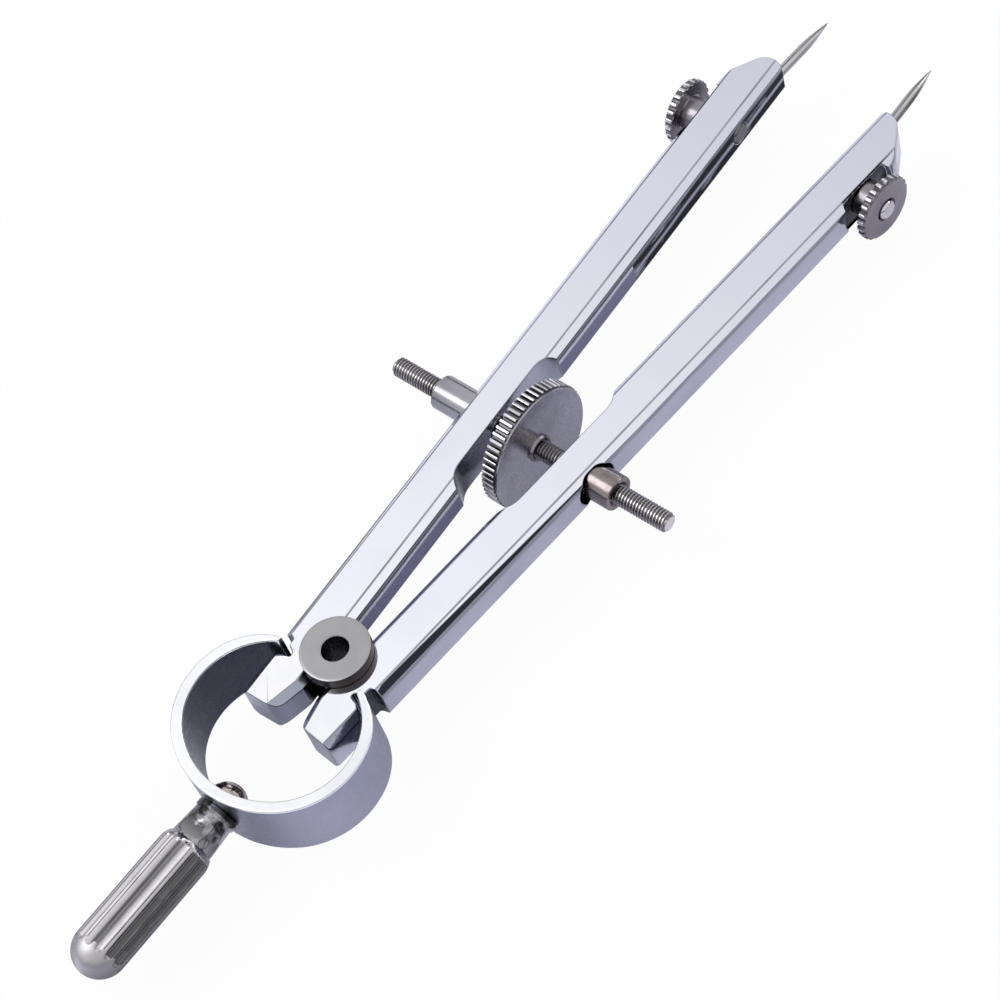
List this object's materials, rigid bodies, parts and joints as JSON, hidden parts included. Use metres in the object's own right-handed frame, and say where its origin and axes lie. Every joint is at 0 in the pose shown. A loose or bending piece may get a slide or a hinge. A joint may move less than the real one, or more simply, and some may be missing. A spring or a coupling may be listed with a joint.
{
  "type": "spring compass",
  "caption": "Spring-bow dividers with needle points: a knurled centre wheel on a screw opens and closes the legs, which turn at a pivot under a round bow spring with a fluted handle.",
  "frame": {"origin": "the pivot axis, half way through the thickness of the legs", "axes": "+Y from the pivot towards the needle points, +X towards the right leg, +Z out of the front face along the pivot axis"},
  "size_m": [0.0499, 0.1779, 0.0192],
  "materials": {
    "leg_chrome": "mirror chrome plate",
    "handle_chrome": "mirror chrome plate",
    "bow_steel": "satin plated spring steel with bright edges",
    "rivet_steel": "dark worn steel",
    "barrel_steel": "turned steel",
    "washer_nickel": "satin nickel",
    "nut_nickel": "turned, nickel plated",
    "warm_nickel": "turned, warm nickel",
    "screw_nickel": "threaded, nickel plated",
    "wheel_nickel": "knurled, nickel plated",
    "needle_steel": "ground steel",
    "stud_nickel": "turned, nickel plated",
    "thumb_nickel": "knurled, nickel plated"
  },
  "bodies": {
    "bow": {"bow_spring": "bow_steel", "handle": "handle_chrome", "handle_rivet": "rivet_steel", "pivot_barrel": "barrel_steel", "front_washer": "washer_nickel", "rear_washer": "washer_nickel"},
    "left_leg": {"left_leg": "leg_chrome"},
    "right_leg": {"right_leg": "leg_chrome"},
    "left_sleeve_nut": {"left_sleeve_nut": "nut_nickel"},
    "right_sleeve_nut": {"right_sleeve_nut": "warm_nickel"},
    "adjusting_screw": {"adjusting_screw": "screw_nickel"},
    "adjusting_wheel": {"adjusting_wheel": "wheel_nickel"},
    "left_thumb_nut": {"left_thumb_nut": "thumb_nickel"},
    "right_thumb_nut": {"right_thumb_nut": "thumb_nickel"},
    "left_clamp_stud": {"left_clamp_stud": "stud_nickel"},
    "right_clamp_stud": {"right_clamp_stud": "stud_nickel"},
    "left_needle": {"left_needle": "needle_steel"},
    "right_needle": {"right_needle": "needle_steel"}
  },
  "joints": [
    {"name": "left_leg_hinge", "type": "hinge", "parent": "bow", "child": "left_leg", "pos_m": [0, 0, 0], "axis": [0, 0, 1], "range_deg": [-4.08, 11]},
    {"name": "right_leg_hinge", "type": "hinge", "parent": "bow", "child": "right_leg", "pos_m": [0, 0, 0], "axis": [0, 0, 1], "range_deg": [-11, 4.08]},
    {"name": "left_sleeve_nut_swivel", "type": "hinge", "parent": "left_leg", "child": "left_sleeve_nut", "pos_m": [-0.0105, 0.0417, 0], "axis": [0, 0, 1], "range_deg": [-11, 4.08]},
    {"name": "right_sleeve_nut_swivel", "type": "hinge", "parent": "right_leg", "child": "right_sleeve_nut", "pos_m": [0.0105, 0.0417, 0], "axis": [0, 0, 1], "range_deg": [-4.08, 11]},
    {"name": "screw_feed", "type": "slide", "parent": "left_sleeve_nut", "child": "adjusting_screw", "axis": [1, 0, 0], "range_m": [-0.00293, 0.00788]},
    {"name": "wheel_turn", "type": "hinge", "parent": "adjusting_screw", "child": "adjusting_wheel", "pos_m": [-0.00032, 0.0417, 0], "axis": [1, 0, 0], "range_deg": [-2102.2, 5667.5]},
    {"name": "left_thumb_nut_turn", "type": "hinge", "parent": "left_leg", "child": "left_thumb_nut", "pos_m": [-0.01533, 0.10042, 0], "axis": [-0.9979, -0.0642, 0], "range_deg": [0, 252.1]},
    {"name": "left_clamp_stud_draw", "type": "slide", "parent": "left_leg", "child": "left_clamp_stud", "axis": [-0.9979, -0.0642, 0], "range_m": [-0.00035, 0]},
    {"name": "left_needle_feed", "type": "slide", "parent": "left_leg", "child": "left_needle", "axis": [0.0509, 0.9987, 0], "range_m": [-0.002, 0.006]},
    {"name": "right_thumb_nut_turn", "type": "hinge", "parent": "right_leg", "child": "right_thumb_nut", "pos_m": [0.01533, 0.10042, 0], "axis": [0.9979, -0.0642, 0], "range_deg": [0, 252.1]},
    {"name": "right_clamp_stud_draw", "type": "slide", "parent": "right_leg", "child": "right_clamp_stud", "axis": [0.9979, -0.0642, 0], "range_m": [-0.00035, 0]},
    {"name": "right_needle_feed", "type": "slide", "parent": "right_leg", "child": "right_needle", "axis": [-0.0509, 0.9987, 0], "range_m": [-0.002, 0.006]}
  ],
  "couplings": [
    {"joint": "right_leg_hinge", "follows": "left_leg_hinge", "ratio": -1},
    {"joint": "left_sleeve_nut_swivel", "follows": "left_leg_hinge", "ratio": -1},
    {"joint": "right_sleeve_nut_swivel", "follows": "left_leg_hinge", "ratio": 1},
    {"joint": "screw_feed", "follows": "left_leg_hinge", "m_per_rad": 0.041},
    {"joint": "wheel_turn", "follows": "left_leg_hinge", "ratio": 515.22},
    {"joint": "left_thumb_nut_turn", "follows": "left_clamp_stud_draw", "rad_per_m": -12566},
    {"joint": "right_thumb_nut_turn", "follows": "right_clamp_stud_draw", "rad_per_m": -12566}
  ]
}
